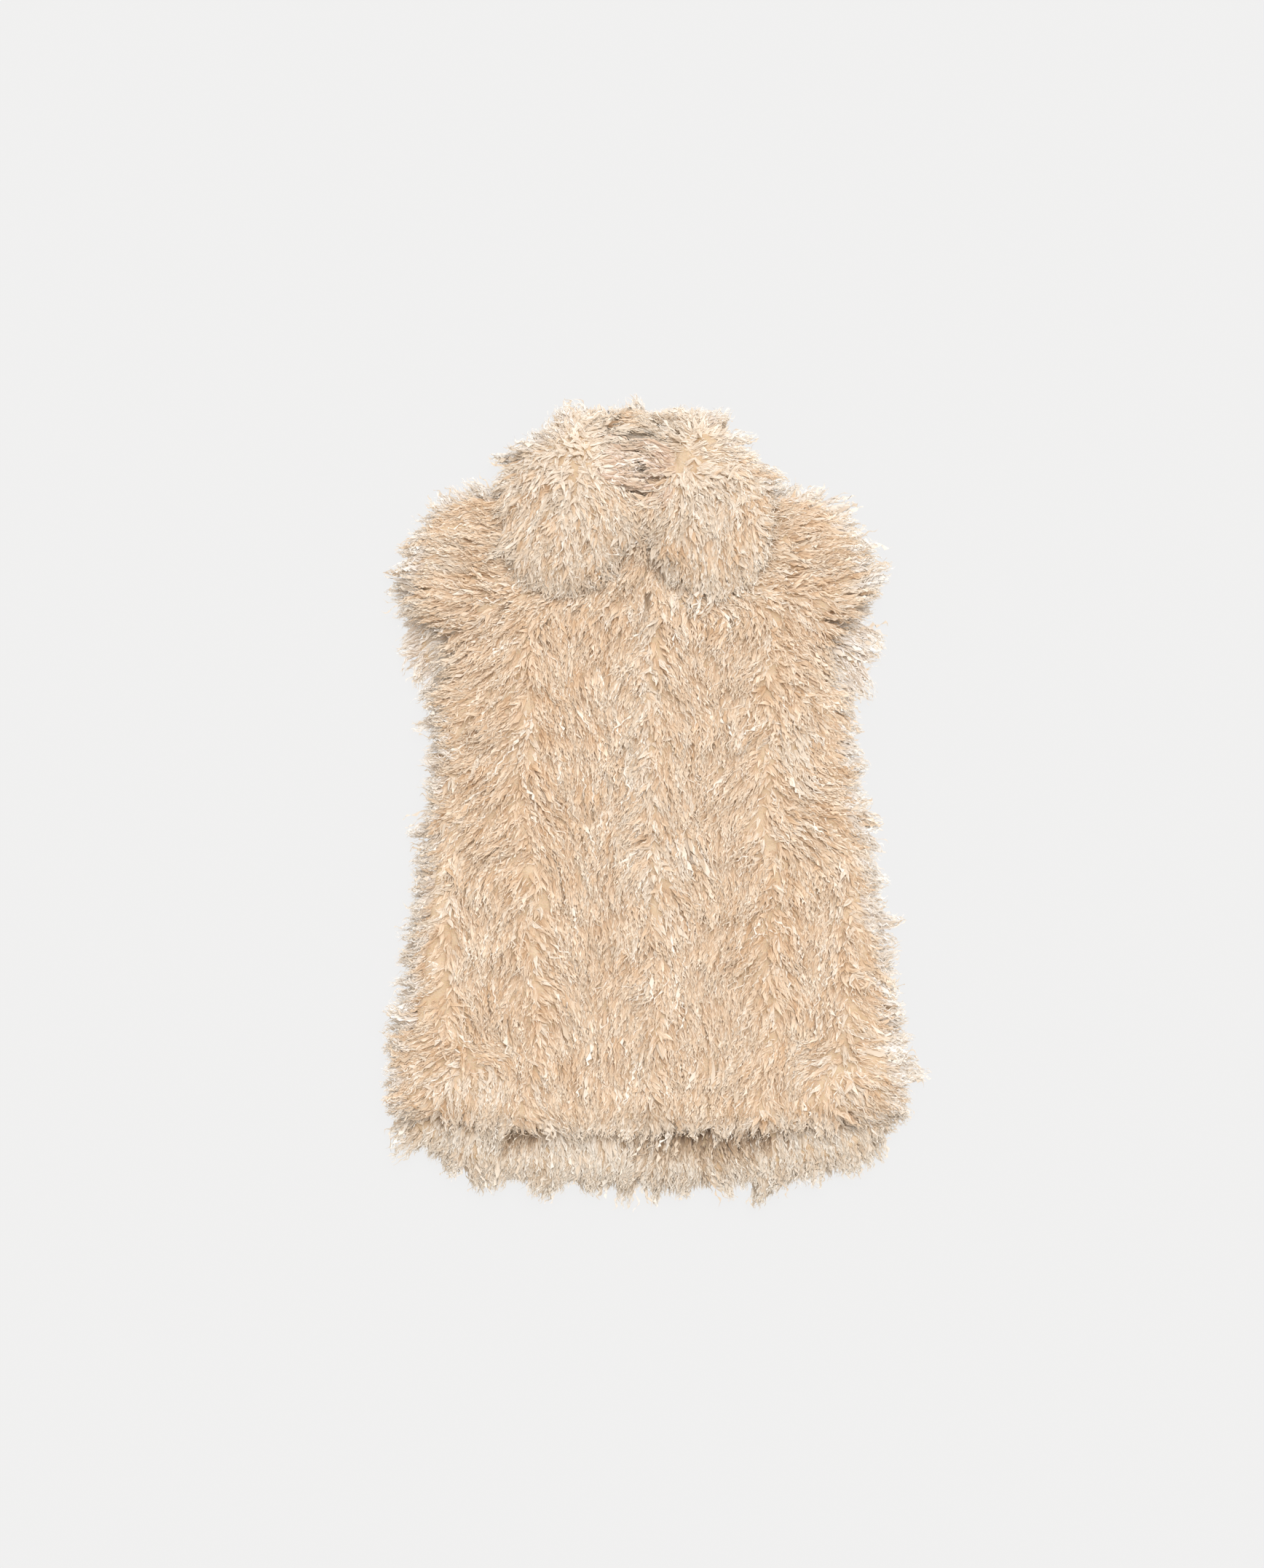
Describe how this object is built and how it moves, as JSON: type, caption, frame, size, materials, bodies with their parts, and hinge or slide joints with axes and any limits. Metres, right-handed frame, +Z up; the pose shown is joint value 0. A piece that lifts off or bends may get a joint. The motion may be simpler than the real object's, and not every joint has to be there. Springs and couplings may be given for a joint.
{
  "type": "fur vest",
  "caption": "Sleeveless shaggy fur vest with a wide turned-down fur collar, lying flat on its back with the fronts closed over it.",
  "frame": {"origin": "middle of the vest's outline, on the surface that it lies on", "axes": "+X towards the wearer's left, +Y from the hem to the collar, +Z up from the surface, out of the fronts"},
  "size_m": [0.5557, 0.8252, 0.0879],
  "materials": {
    "fur": "long curly pile, matt"
  },
  "bodies": {
    "root": {"back": "fur", "back_hem_facing": "fur", "front_right": "fur", "front_left": "fur", "collar": "fur"}
  },
  "joints": []
}
